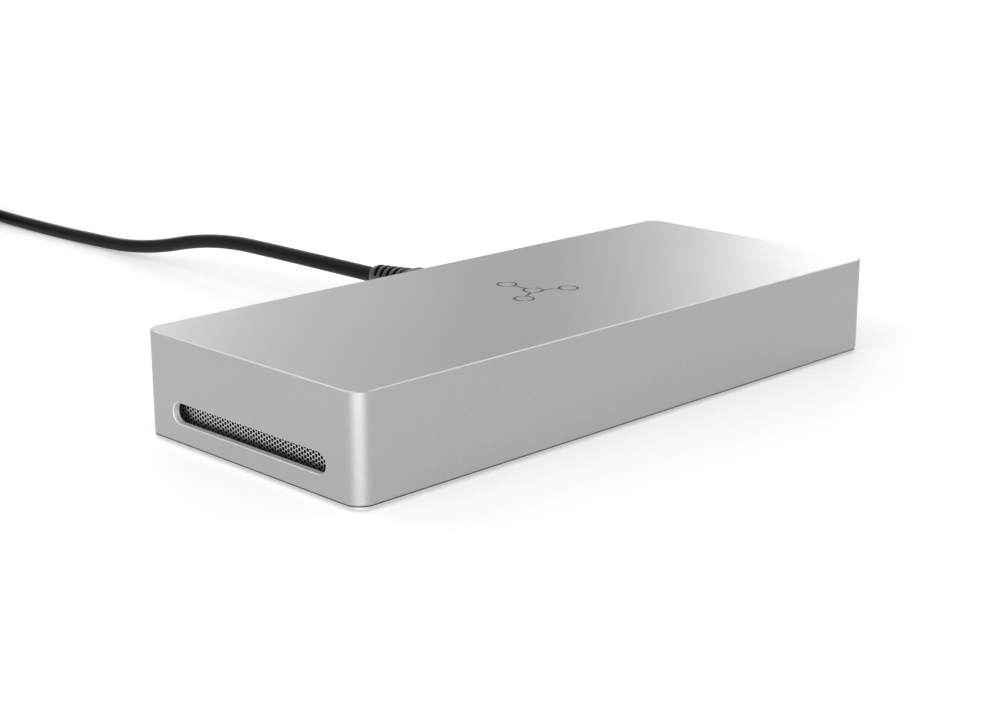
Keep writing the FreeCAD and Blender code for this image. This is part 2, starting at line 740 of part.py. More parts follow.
def hdmi_port(name, x):
    wide, high = "hdmi_wide - 2 * metal_skin", "hdmi_high - 2 * metal_skin"
    tube_shell(
        f"hdmi_shell_{name}",
        lambda sketch: hdmi_outline(sketch, x, "hdmi_wide", "hdmi_high"),
        lambda sketch: hdmi_outline(sketch, x, wide, high),
        "hdmi_deep",
    )
    tongue(
        f"hdmi_tongue_{name}",
        lambda sketch: hdmi_outline(sketch, x, f"{wide} - 0.1", f"{high} - 0.1"),
        "2",
        "hdmi_deep",
        lambda sketch: rectangle(sketch, x, "port_level + 0.2", "hdmi_blade_wide", "hdmi_blade_thick"),
        "1.2",
    )


def usb_a_stack(name, x):
    """Two ports one above the other in one metal shell."""
    levels = ("port_level - usb_a_level_step / 2", "port_level + usb_a_level_step / 2")
    wide = "usb_a_wide - 2 * metal_skin"

    def each_level(draw):
        return lambda sketch: [draw(sketch, level) for level in levels]

    tube_shell(
        f"usb_a_shell_{name}",
        lambda sketch: rounded(sketch, x, "port_level", "usb_a_wide", "usb_a_high", "0.4"),
        each_level(lambda sketch, level: rounded(sketch, x, level, wide, "usb_a_mouth_high", "0.3")),
        "usb_a_deep",
    )
    backs = []
    for floor, level in enumerate(levels):
        blade_level = f"{level} + 0.9 - usb_a_blade_thick / 2"
        base_size = (f"{wide} - 0.3", "usb_a_back_deep", "usb_a_mouth_high - 0.3")
        base_y = f"{PORT_FACE} - usb_a_deep + metal_skin + usb_a_back_deep / 2"
        base_level = f"{level} - usb_a_mouth_high / 2 + 0.15"
        back = block(f"usb_a_back_{name}_{floor}", base_size, x, base_y, base_level)
        blade_long = "usb_a_deep - metal_skin - usb_a_back_deep - 0.5"
        blade_y = f"{PORT_FACE} - 1 - ({blade_long}) / 2"
        blade_size = ("usb_a_blade_wide", blade_long, "usb_a_blade_thick")
        blade = block(f"usb_a_blade_{name}_{floor}", blade_size, x, blade_y, blade_level)
        joined = doc.addObject("Part::Fuse", f"usb_a_insert_{name}_{floor}")
        joined.Base, joined.Tool = back, blade
        backs.append(joined)
    node(compound(f"usb_a_tongues_{name}", backs))


def ethernet_port():
    """Network jack: a metal shield, the moulded body with its mouth and latch notch, and eight contacts."""
    skin = "metal_skin"
    inner_wide, inner_high = f"ethernet_wide - 2 * {skin}", f"ethernet_high - 2 * {skin}"
    x, level = "ethernet_place", "port_level"
    tube_shell(
        "ethernet_shield",
        lambda sketch: rounded(sketch, x, level, "ethernet_wide", "ethernet_high", "0.4"),
        lambda sketch: rounded(sketch, x, level, inner_wide, inner_high, "0.2"),
        "ethernet_deep",
    )
    part = node(body("ethernet_housing"))
    front = f"{PORT_FACE} - 0.3"
    outline = sketch_on(part, "ethernet_block", "XZ_Plane", f"-({front})")
    rounded(outline, x, level, f"{inner_wide} - 0.1", f"{inner_high} - 0.1", "0.2")
    pad(part, "ethernet_block_pad", outline, f"ethernet_deep - {skin} - 0.4")
    mouth = sketch_on(part, "ethernet_mouth", "XZ_Plane", f"-({front})")
    half, notch, lug = "ethernet_mouth_wide / 2", "3.1", "1.6"
    top, low = f"{level} + ethernet_mouth_high / 2", f"{level} - ethernet_mouth_high / 2"
    polygon(mouth, [(f"{x} - {half}", low), (f"{x} - {notch}", low), (f"{x} - {notch}", f"{low} - {lug}"),
                    (f"{x} + {notch}", f"{low} - {lug}"), (f"{x} + {notch}", low), (f"{x} + {half}", low),
                    (f"{x} + {half}", top), (f"{x} - {half}", top)])
    pocket(part, "ethernet_mouth_cut", mouth, "ethernet_mouth_deep", against_normal=False)
    contact_y = f"{front} - ethernet_mouth_deep / 2 - 2"
    contact_z = f"{top} - 0.35"
    contacts = []
    for k in range(CONTACTS):
        contact_x = f"{x} + {CONTACT_PITCH * (k - (CONTACTS - 1) / 2)}"
        contact_size = ("0.4", "ethernet_mouth_deep - 4.2", "0.3")
        contacts.append(block(f"contact_{k}", contact_size, contact_x, contact_y, contact_z))
    node(compound("ethernet_contacts", contacts))


def power_jack():
    """Round power inlet: a moulded body whose nose fills the hole in the wall, and its centre pin."""
    part = node(body("power_jack_body"))
    block_face = f"{REAR_INSIDE} - bracket_inset - bracket_thick - 0.1"
    outline = sketch_on(part, "jack_block", "XZ_Plane", f"-({block_face})")
    rounded(outline, "power_place", "port_level", "power_wide", "power_high", "0.6")
    pad(part, "jack_block_pad", outline, f"power_deep - ({PORT_FACE} - ({block_face}))")
    nose = sketch_on(part, "jack_nose", "XZ_Plane", f"-({PORT_FACE})")
    circle(nose, "power_place", "port_level", "power_nose_radius")
    pad(part, "jack_nose_pad", nose, "3")
    bore = sketch_on(part, "jack_bore", "XZ_Plane", f"-({PORT_FACE})")
    circle(bore, "power_place", "port_level", "power_bore_radius")
    pocket(part, "jack_bore_cut", bore, "power_bore_deep", against_normal=False)
    pin = node(body("power_jack_pin"))
    root = sketch_on(pin, "pin_section", "XZ_Plane", f"-({PORT_FACE} - power_bore_deep)")
    circle(root, "power_place", "port_level", "power_pin_radius")
    rod = pad(pin, "pin_pad", root, "power_bore_deep - 0.8", backwards=True)
    tip = edge_names(rod, lambda edge: edge.BoundBox.YMin > value(f"{PORT_FACE} - 1"))
    dress(pin, "Fillet", "pin_tip", rod, tip, "Radius", "power_pin_radius * 0.6")


def lock_plate():
    """Steel plate behind the lock slot that a cable lock grips."""
    part = node(body("lock_plate"))
    plate_face = f"{REAR_INSIDE} - bracket_inset - bracket_thick - 0.05"
    face = sketch_on(part, "lock_face", "XZ_Plane", f"-({plate_face})")
    rounded(face, "lock_place", "port_level", "lock_wide + 4", "lock_high + 7", "1")
    stadium(face, "lock_place", "port_level", "lock_wide + 0.2", "lock_high + 0.2")
    pad(part, "lock_pad", face, "0.8")


def power_button():
    """The round cap in the rear wall, its flange behind the wall, and the switch that it presses."""
    part = node(body("power_button"))
    cap_face = f"{REAR} + button_proud"
    cap = sketch_on(part, "cap_outline", "XZ_Plane", f"-({cap_face})")
    circle(cap, "button_place", "port_level", "button_radius")
    crown = pad(part, "cap_pad", cap, f"{cap_face} - ({REAR_INSIDE}) + 0.5")
    rim = edge_names(crown, lambda edge: edge.BoundBox.YMin > value(cap_face) - 0.01)
    dress(part, "Fillet", "cap_rounding", crown, rim, "Radius", "cap_rounding")
    flange = sketch_on(part, "flange_outline", "XZ_Plane", f"-({REAR_INSIDE} - flange_gap)")
    circle(flange, "button_place", "port_level", "button_flange")
    pad(part, "flange_pad", flange, "flange_thick")
    stem = sketch_on(part, "stem_outline", "XZ_Plane", f"-({REAR_INSIDE} - 0.5)")
    circle(stem, "button_place", "port_level", "stem_radius")
    pad(part, "stem_pad", stem, "stem_end - 0.5")
    switch = node(body("button_switch"))
    plunger_face = f"{REAR_INSIDE} - stem_end - button_travel - 0.05"
    case = sketch_on(switch, "switch_case", "XZ_Plane", f"-({plunger_face} - plunger_long)")
    rounded(case, "button_place", "port_level", "switch_side", "switch_side", "0.3")
    pad(switch, "switch_case_pad", case, "switch_deep")
    plunger = sketch_on(switch, "switch_plunger", "XZ_Plane", f"-({plunger_face})")
    circle(plunger, "button_place", "port_level", "plunger_radius")
    pad(switch, "switch_plunger_pad", plunger, "1")


# Host cable: plugs, boots, the route, the coil and its tie


def plug_body(name):
    """Overmould of a plug, from its front face at y = 0 back to its boot."""
    part = node(body(name))
    outline = sketch_on(part, f"{name}_outline", "XZ_Plane", "0")
    rounded(outline, "0", "0", "plug_wide", "plug_high", "plug_high * 0.38")
    block_pad = pad(part, f"{name}_pad", outline, "plug_length", backwards=True)
    faces = edge_names(block_pad, lambda edge: edge.BoundBox.YMax < 0.01)
    dress(part, "Fillet", f"{name}_rounding", block_pad, faces, "Radius", "0.5")
    socket = sketch_on(part, f"{name}_socket", "XZ_Plane", "0")
    stadium(socket, "0", "0", "plug_tip_wide", "plug_tip_high")
    pocket(part, f"{name}_socket_cut", socket, "3")
    return part


def plug_shell(name):
    """Drawn metal tip of a plug, open at its end, with its root held in the overmould."""
    part = node(body(name))
    outside = sketch_on(part, f"{name}_outside", "XZ_Plane", "plug_tip")
    stadium(outside, "0", "0", "plug_tip_wide", "plug_tip_high")
    pad(part, f"{name}_pad", outside, "plug_tip + 3", backwards=True)
    inside = sketch_on(part, f"{name}_inside", "XZ_Plane", "plug_tip")
    stadium(inside, "0", "0", "plug_tip_wide - 2 * metal_skin", "plug_tip_high - 2 * metal_skin")
    pocket(part, f"{name}_bore", inside, "plug_tip")
    return part


def boot_slots(part, name, k):
    """Two slots across a boot, over its top and under it. They leave a core and a spine on each side."""
    low = f"plug_length + boot_length - boot_slot_first - {k} * boot_pitch - boot_slot / 2"
    section = sketch_on(part, f"{name}_slots_{k}", "XZ_Plane", f"-({low})")
    half = [
        ("boot_core - boot_core_corner", "boot_core"),
        ("boot_core", "boot_core - boot_core_corner"),
        ("boot_core", "boot_spine"),
        ("plug_wide", "boot_spine"),
        ("plug_wide", "plug_high"),
    ]
    upper = half + [(f"-({x})", z) for x, z in reversed(half)]
    polygon(section, upper)
    polygon(section, [(x, f"-({z})") for x, z in upper])
    return pocket(part, f"{name}_slots_cut_{k}", section, "boot_slot")


def plug_boot(name):
    """Tapered strain relief: a loft from the overmould down to the cable, with a rounded end and slots."""
    part = node(body(name))
    wide_end = sketch_on(part, f"{name}_wide_end", "XZ_Plane", "-plug_length")
    rounded(wide_end, "0", "0", "boot_root_wide", "boot_root_high", "boot_root_high * 0.42")
    thin_end = sketch_on(part, f"{name}_thin_end", "XZ_Plane", "-(plug_length + boot_length)")
    rounded(thin_end, "0", "0", "boot_end_wide", "boot_end_high", "boot_end_wide * 0.42")
    taper = part.newObject("PartDesign::AdditiveLoft", f"{name}_taper")
    taper.Profile = wide_end
    taper.Sections = [thin_end]
    taper.Ruled = True
    doc.recompute()
    for k in range(BOOT_SLOTS):
        slotted = boot_slots(part, name, k)
    rim = edge_names(slotted, lambda edge: edge.BoundBox.YMin > value("plug_length + boot_length") - 0.01)
    dress(part, "Fillet", f"{name}_rounding", slotted, rim, "Radius", "boot_end_rounding")
    return part


def cable_tube(name, route):
    """Round cable along straight runs joined by tangent arcs, each as large as its two runs allow."""
    radius = value("cable_radius")
    edges = []
    bends = []
    start = route[0]
    for before, corner, after in zip(route, route[1:], route[2:]):
        into, out = (corner - before).normalize(), (after - corner).normalize()
        turn = into.getAngle(out)
        reach = 0.45 * min((corner - before).Length, (after - corner).Length)
        bends.append(reach / math.tan(turn / 2))
        first, last = corner - into * reach, corner + out * reach
        towards = (out - into).normalize()
        centre = corner + towards * (reach / math.sin(turn / 2))
        middle = centre - towards * bends[-1]
        edges.append(Part.LineSegment(start, first).toShape())
        edges.append(Part.Arc(first, middle, last).toShape())
        start = last
    edges.append(Part.LineSegment(start, route[-1]).toShape())
    path = Part.Wire(edges)
    section = Part.Wire(Part.makeCircle(radius, route[0], route[1] - route[0]))
    thing = node(doc.addObject("Part::Feature", name))
    thing.Shape = path.makePipeShell([section], True, False)
    expected = math.pi * radius ** 2 * path.Length
    print(f"{name}: {path.Length:.1f} mm, bend radii {[round(bend) for bend in bends]},",
          f"volume {thing.Shape.Volume / expected:.4f} of section times length")


def cable_coil():
    """Outer shape of the stored coil: two turns beside each other in two layers."""
    part = node(body("host_cable_coil"))
    section = sketch_on(part, "coil_section", "XZ_Plane", "0")
    rounded(section, "coil_radius", "tie_thick + 2 * cable_radius", "4 * cable_radius", "4 * cable_radius",
            "cable_radius * 0.9")
    ring = part.newObject("PartDesign::Revolution", "coil_ring")
    ring.Profile = section
    ring.ReferenceAxis = (section, ["V_Axis"])
    ring.Angle = 360
    doc.recompute()
    place(part, "coil_x", "coil_y", "0")


def coil_tie():
    """Strap closed round the coil's section on the side away from the housing's view."""
    part = node(body("coil_tie"))
    loop = sketch_on(part, "tie_section", "XZ_Plane", "-tie_width / 2")
    level, high = "tie_thick + 2 * cable_radius", "4 * cable_radius"
    wide, corner = f"{high} + 2 * tie_slack", "cable_radius * 0.9"
    outside = [f"{wide} + 2 * tie_thick", f"{high} + 2 * tie_thick", f"{corner} + tie_thick"]
    for size in (outside, [wide, high, corner]):
        rounded(loop, "-coil_radius", level, *size)
    pad(part, "tie_pad", loop, "tie_width")
    place(part, "coil_x", "coil_y", "0")


def plug_set(prefix, x, y, z, turn):
    """A plug's three pieces, with its front face at (x, y, z) and its cable end along +Y turned about Z."""
    makers = {"body": plug_body, "shell": plug_shell, "boot": plug_boot}
    for piece, make in makers.items():
        part = make(f"{prefix}_plug_{piece}")
        part.Placement = Placement(Vector(), Rotation(Vector(0, 0, 1), turn))
        place(part, x, y, z)


def host_cable():
    """The cable with a plug at each end: one in the host port, the other beside the stored coil."""
    plug_set("host", "host_place", f"{REAR} + plug_gap", "port_level", 0)
    boot_end = value(f"{REAR} + plug_gap + plug_length + boot_length")
    leave = Vector(value("host_place"), boot_end, value("port_level"))
    floor = value("cable_radius")
    cable_tube("host_cable", [
        leave,
        Vector(19.3, 121.0, 13.3),
        Vector(19.2, 160.0, 13.0),
        Vector(18.8, 199.0, 3.2),
        Vector(17.8, 236.0, floor),
        Vector(17.1, 270.0, floor),
        Vector(17.0, 298.0, floor + 0.5),
    ])
    tail_end = Vector(-22.5, 345.6, value("plug_high / 2"))
    cable_tube("host_cable_tail", [
        Vector(1.0, 342.4, floor),
        Vector(-7.0, 345.0, floor + 0.4),
        Vector(-14.8, 345.6, tail_end.z),
        tail_end,
    ])
    cable_coil()
    coil_tie()
    plug_set("laptop", f"{tail_end.x} - plug_length - boot_length", str(tail_end.y), "plug_high / 2", -90)


# The whole station

housing_shell()
bottom_cover()
foot_strip("foot_strip_front", -1)
foot_strip("foot_strip_rear", 1)
screws()
vents()
main_board()
board_components()
heat_spreader()
insulating_sheet()
port_bracket()
ethernet_port()
for name, x in HDMI_PLACES.items():
    hdmi_port(name, x)
for name, x in USB_C_PLACES.items():
    usb_c_port(name, x)
for name, x in USB_A_PLACES.items():
    usb_a_stack(name, x)
power_jack()
lock_plate()
power_button()
host_cable()
doc.recompute()

failed = [item.Label for item in doc.Objects if {"Invalid", "Error"} & set(item.State)]
failed += [item.Label for item in nodes if item.Shape.isNull() or not item.Shape.isValid()]
if failed:
    raise RuntimeError(f"not sound: {failed}")

os.makedirs("parts", exist_ok=True)
for item in nodes:
    item.Shape.exportStep(f"parts/{item.Label}.step")
print(f"{len(nodes)} sub-parts written")
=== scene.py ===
import json
import math

import bmesh
import bpy
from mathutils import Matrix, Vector


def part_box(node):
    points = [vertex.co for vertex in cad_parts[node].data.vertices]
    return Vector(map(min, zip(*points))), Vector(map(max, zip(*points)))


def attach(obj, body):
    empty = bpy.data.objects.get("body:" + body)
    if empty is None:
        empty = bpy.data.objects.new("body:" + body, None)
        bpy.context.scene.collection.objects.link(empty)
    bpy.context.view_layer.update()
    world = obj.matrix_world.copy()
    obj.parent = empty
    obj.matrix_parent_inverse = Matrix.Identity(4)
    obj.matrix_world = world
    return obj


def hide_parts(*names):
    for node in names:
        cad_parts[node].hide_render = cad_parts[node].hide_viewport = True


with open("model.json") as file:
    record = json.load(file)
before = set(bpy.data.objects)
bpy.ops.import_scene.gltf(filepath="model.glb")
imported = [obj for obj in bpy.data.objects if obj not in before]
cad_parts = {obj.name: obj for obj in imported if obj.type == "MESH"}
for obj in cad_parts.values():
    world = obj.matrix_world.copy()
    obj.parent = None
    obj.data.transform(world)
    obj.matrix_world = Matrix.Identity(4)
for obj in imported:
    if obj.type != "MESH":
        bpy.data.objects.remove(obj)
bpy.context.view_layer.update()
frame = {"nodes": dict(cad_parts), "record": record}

MM = 0.001
STATION = "station"


# Camera, floor and lights

CAMERA_AZIMUTH = math.radians(-45.02)
CAMERA_ELEVATION = math.radians(15.431)
CAMERA_DISTANCE = 459.93 * MM
CAMERA_AIM = Vector((-4.22, 7.49, 8.95)) * MM
SENSOR_WIDTH = 36.0
LENS = 65.36
CLIP_NEAR = 0.01
CLIP_FAR = 20.0
FLOOR_HALF = 4.0
FLOOR_GREY = 0.93
FLOOR_ROUGHNESS = 0.9
FLOOR_GLOW = 0.28
SKY = 0.5
LIGHT_AIM = Vector((0, 0, 13)) * MM


def back_direction(azimuth, elevation):
    """Unit vector from the object towards a viewer at that azimuth and elevation."""
    flat = math.cos(elevation)
    return Vector((math.sin(azimuth) * flat, -math.cos(azimuth) * flat, math.sin(elevation)))


def make_camera():
    """The camera at the photograph's viewing angle, solved from the housing's straight edges."""
    data = bpy.data.cameras.new("camera")
    data.sensor_width = SENSOR_WIDTH
    data.lens = LENS
    data.clip_start = CLIP_NEAR
    data.clip_end = CLIP_FAR
    camera = bpy.data.objects.new("camera", data)
    bpy.context.scene.collection.objects.link(camera)
    back = back_direction(CAMERA_AZIMUTH, CAMERA_ELEVATION)
    camera.location = CAMERA_AIM + back * CAMERA_DISTANCE
    camera.rotation_mode = "QUATERNION"
    camera.rotation_quaternion = (-back).to_track_quat("-Z", "Y")
    bpy.context.scene.camera = camera


def area_light(name, azimuth, elevation, distance, size, power):
    """A white soft box in that direction from the object, facing it."""
    data = bpy.data.lights.new(name, "AREA")
    data.shape = "RECTANGLE"
    data.size, data.size_y = size
    data.energy = power
    lamp = bpy.data.objects.new(name, data)
    bpy.context.scene.collection.objects.link(lamp)
    back = back_direction(math.radians(azimuth), math.radians(elevation))
    lamp.location = LIGHT_AIM + back * distance
    lamp.rotation_mode = "QUATERNION"
    lamp.rotation_quaternion = (-back).to_track_quat("-Z", "Y")


def make_floor():
    """A wide pale sheet under the object, level with the soles of its feet and lit softly from below."""
    mesh = bpy.data.meshes.new("floor")
    corners = [(x * FLOOR_HALF, y * FLOOR_HALF, 0) for x, y in ((-1, -1), (1, -1), (1, 1), (-1, 1))]
    mesh.from_pydata(corners, [], [(0, 1, 2, 3)])
    floor = bpy.data.objects.new("floor", mesh)
    bpy.context.scene.collection.objects.link(floor)
    made, shader = plain_material("floor_sheet", grey(FLOOR_GREY), 0.0, FLOOR_ROUGHNESS)
    shader.inputs["Emission Color"].default_value = (1, 1, 1, 1)
    shader.inputs["Emission Strength"].default_value = FLOOR_GLOW
    mesh.materials.append(made)


def make_world():
    """A dim, even white sky, so that the metal reads as silver from every side."""
    world = bpy.data.worlds.new("studio")
    bpy.context.scene.world = world
    world.use_nodes = True
    sky = world.node_tree.nodes["Background"]
    sky.inputs["Color"].default_value = (1, 1, 1, 1)
    sky.inputs["Strength"].default_value = SKY


# Azimuth and elevation in degrees, distance and size (wide, high) in metres, and power in watts.
# The places were chosen. The powers come from a least-squares fit to the brightness of the
# photograph; the three rear ones are that fit's, rounded, and the others were set or trimmed.
LIGHTS = {
    "front_low": (-45, 5, 1.2, (1.4, 0.16), 9.5),
    "corner_edge": (-45, 76, 1.2, (0.8, 0.8), 0.2),
    "front_left": (-90, 40, 1.2, (0.6, 0.6), 2.9),
    "left_edge": (-159, 43, 1.3, (0.6, 0.6), 1.3),
    "front_edge": (69, 43, 1.3, (0.6, 0.6), 1.2),
    "right_streak": (119, 15, 1.5, (0.3, 0.5), 1.75),
    "rear_right": (126, 15, 1.5, (0.3, 0.5), 0.33),
    "rear_centre": (143, 15, 1.5, (0.3, 0.5), 0.42),
    "rear_left": (155, 15, 1.5, (0.3, 0.5), 1.51),
}


def make_lights():
    """Every lamp of the table."""
    for name, (azimuth, elevation, distance, size, power) in LIGHTS.items():
        area_light(name, azimuth, elevation, distance, size, power)


# Materials

EDGE_CUT = 0.2 * MM
SIGN_DEPTH = 0.3 * MM
VENT_WALL = 1.7 * MM
SKIN = 1.0 * MM
MASK_EDGE = 0.02 * MM
# How far a surface points along an axis where it starts to count as facing it, and where it fully does.
FACING_UP = (0.9, 0.95)
FACING_END = (0.85, 0.95)
SPECULAR = {"cable_jacket": 0.1, "plug_overmould": 0.35, "black_plastic": 0.2}
# The sign's floor is looked for between these shares of its depth.
SIGN_FLOOR = (1.3, 0.7)
# Shares of a slot's depth at which the black, partly jacket and partly painted shade, starts and at which
# it is full.
SLOT_BLACK = (0.15, 0.3)
VENT_METALLIC = 0.35
# Grey level and roughness of each place that differs from the rest of its piece.
CUT_FINISH = (0.66, 0.36)
# Painted shade: the grey level and roughness that darken the engraved sign's floor.
SIGN_SHADE = (0.2, 0.5)
VENT_FINISH = (0.62, 0.55)
# Painted shade: the near-black grey level and roughness painted over the inside of the housing.
INSIDE_SHADE = (0.02, 0.8)
# Partly jacket black and partly painted shade: the grey level and roughness of the boots' slots, darker
# than the jacket.
SLOT_JACKET_AND_SHADE = (0.0008, 0.9)


def grey(level):
    """A neutral colour."""
    return (level, level, level)


def plain_material(name, colour, metallic, roughness):
    """A material and its shader, before anything is linked into it."""
    made = bpy.data.materials.new(name)
    made.use_nodes = True
    shader = made.node_tree.nodes["Principled BSDF"]
    shader.inputs["Base Color"].default_value = (*colour, 1)
    shader.inputs["Metallic"].default_value = metallic
    shader.inputs["Roughness"].default_value = roughness
    return made, shader


def add(made, kind, **inputs):
    """A node of that kind; inputs are numbers, or sockets to link from."""
    node = made.node_tree.nodes.new(kind)
    for name, given in inputs.items():
        socket = node.inputs[name.replace("_", " ")]
        if isinstance(given, bpy.types.NodeSocket):
            made.node_tree.links.new(given, socket)
        else:
            socket.default_value = given
    return node


def noise(made, scale, detail=2.0, stretch=(1, 1, 1)):
    """Noise in the object's own metres: scale is features per metre."""
    place = add(made, "ShaderNodeTexCoord").outputs["Object"]
    if stretch != (1, 1, 1):
        place = add(made, "ShaderNodeMapping", Vector=place, Scale=stretch).outputs["Vector"]
    return add(made, "ShaderNodeTexNoise", Vector=place, Scale=scale, Detail=detail).outputs["Fac"]


def spread(made, value, low, high, start=0.3, stop=0.7):
    """The value's middle range stretched from low to high."""
    node = add(made, "ShaderNodeMapRange", Value=value)
    node.inputs["From Min"].default_value = start
    node.inputs["From Max"].default_value = stop
    node.inputs["To Min"].default_value = low
    node.inputs["To Max"].default_value = high
    return node.outputs["Result"]


def tint(made, factor, dark, light):
    """A colour between two, by a factor from 0 to 1."""
    node = made.node_tree.nodes.new("ShaderNodeMix")
    node.data_type = "RGBA"
    made.node_tree.links.new(factor, node.inputs["Factor"])
    node.inputs["A"].default_value = (*dark, 1)
    node.inputs["B"].default_value = (*light, 1)
    return node.outputs["Result"]


def relief(made, shader, height, depth):
    """Bump of that depth, in metres, from a height of 0 to 1."""
    bump = add(made, "ShaderNodeBump", Height=height, Strength=1.0, Distance=depth)
    made.node_tree.links.new(bump.outputs["Normal"], shader.inputs["Normal"])


def surface(name, dark, light, metallic, roughness, blotch, grain, depth, stretch=(1, 1, 1)):
    """Blotches vary the roughness, and a fine grain varies the colour and gives the relief.

    roughness is its lowest and highest value; blotch and grain are features per metre; depth is in metres.
    """
    made, shader = plain_material(name, light, metallic, sum(roughness) / 2)
    links = made.node_tree.links
    blotches = noise(made, blotch, 3.0)
    fine = noise(made, grain, 2.0, stretch)
    links.new(tint(made, spread(made, fine, 0, 1), dark, light), shader.inputs["Base Color"])
    links.new(spread(made, blotches, *roughness), shader.inputs["Roughness"])
    relief(made, shader, fine, depth)
    return made


def magnitude(made, value):
    """The value without its sign."""
    node = made.node_tree.nodes.new("ShaderNodeMath")
    node.operation = "ABSOLUTE"
    made.node_tree.links.new(value, node.inputs[0])
    return node.outputs[0]


def product(made, factors):
    """The factors multiplied together."""
    result = factors[0]
    for factor in factors[1:]:
        node = made.node_tree.nodes.new("ShaderNodeMath")
        node.operation = "MULTIPLY"
        made.node_tree.links.new(result, node.inputs[0])
        made.node_tree.links.new(factor, node.inputs[1])
        result = node.outputs[0]
    return result


def overlay(made, shader, mask, level, roughness):
    """Another grey and roughness where the mask is 1."""
    for name, kind, value in (("Base Color", "RGBA", (*grey(level), 1)), ("Roughness", "FLOAT", roughness)):
        mix = made.node_tree.nodes.new("ShaderNodeMix")
        mix.data_type = kind
        under, over = [socket for socket in mix.inputs if socket.enabled and socket.name in "AB"]
        made.node_tree.links.new(mask, mix.inputs["Factor"])
        made.node_tree.links.new(shader.inputs[name].links[0].from_socket, under)
        over.default_value = value
        result = next(socket for socket in mix.outputs if socket.enabled)
        made.node_tree.links.new(result, shader.inputs[name])


def between(made, value, low, high):
    """1 where the value lies from low to high, and 0 elsewhere."""
    above = spread(made, value, 0, 1, low - MASK_EDGE, low)
    below = spread(made, value, 1, 0, high, high + MASK_EDGE)
    return product(made, (above, below))


def own_axes(made):
    """The point and the surface's direction, each split into X, Y and Z of the object's own frame."""
    coordinates = add(made, "ShaderNodeTexCoord")
    return [add(made, "ShaderNodeSeparateXYZ", Vector=coordinates.outputs[name]).outputs
            for name in ("Object", "Normal")]


def finish_cuts_and_shade_sign(made):
    """Brighten the cut round the roof and the sides of the engraved sign, and darken the sign's floor with
    painted shade.
    """
    shader = made.node_tree.nodes["Principled BSDF"]
    place, facing = own_axes(made)
    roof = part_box("housing_shell")[1].z
    at_cut = between(made, place["Z"], roof - EDGE_CUT, roof)
    sign_low, sign_high = (roof - share * SIGN_DEPTH for share in SIGN_FLOOR)
    at_floor = between(made, place["Z"], sign_low, sign_high)
    level = spread(made, facing["Z"], 0, 1, *FACING_UP)
    steep = spread(made, facing["Z"], 1, 0, *FACING_UP)
    overlay(made, shader, product(made, (at_cut, steep)), *CUT_FINISH)
    # Painted shade on the engraved sign's floor.
    overlay(made, shader, product(made, (at_floor, level)), *SIGN_SHADE)


def dull_vent_walls(made):
    """The milled sides of the two vent slots are matt, with no bright reflections."""
    shader = made.node_tree.nodes["Principled BSDF"]
    place, facing = own_axes(made)
    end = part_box("housing_shell")[1].x
    low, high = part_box("vent_mesh_left")
    in_wall = between(made, magnitude(made, place["X"]), end - VENT_WALL, end)
    across = between(made, place["Y"], low.y, high.y)
    up = between(made, place["Z"], low.z, high.z)
    sideways = spread(made, magnitude(made, facing["X"]), 1, 0, *FACING_END)
    mask = product(made, (in_wall, across, up, sideways))
    overlay(made, shader, mask, *VENT_FINISH)
    made.node_tree.links.new(spread(made, mask, 1.0, VENT_METALLIC, 0, 1), shader.inputs["Metallic"])


def paint_inside_shade(made):
    """Painted shade: the inside of the housing is painted near black, so nothing shows through the vents.
    """
    shader = made.node_tree.nodes["Principled BSDF"]
    place, _ = own_axes(made)
    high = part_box("housing_shell")[1]
    inside = [spread(made, magnitude(made, place[axis]), 1, 0, reach, reach + MASK_EDGE)
              for axis, reach in (("X", high.x - VENT_WALL), ("Y", high.y - SKIN), ("Z", high.z - SKIN))]
    # Painted shade over the housing's inside.
    overlay(made, shader, product(made, inside), *INSIDE_SHADE)


def paint_slot_jacket_and_shade(made):
    """The boots' slots are painted near black: partly the black jacket inside them, and partly painted
    shade, darker than the jacket itself.
    """
    depth = made.node_tree.nodes.new("ShaderNodeAttribute")
    depth.attribute_name = "slot_depth"
    inside = spread(made, depth.outputs["Fac"], 0, 1, *SLOT_BLACK)
    # Painted shade, with the jacket's black, in the boots' slots.
    overlay(made, made.node_tree.nodes["Principled BSDF"], inside, *SLOT_JACKET_AND_SHADE)


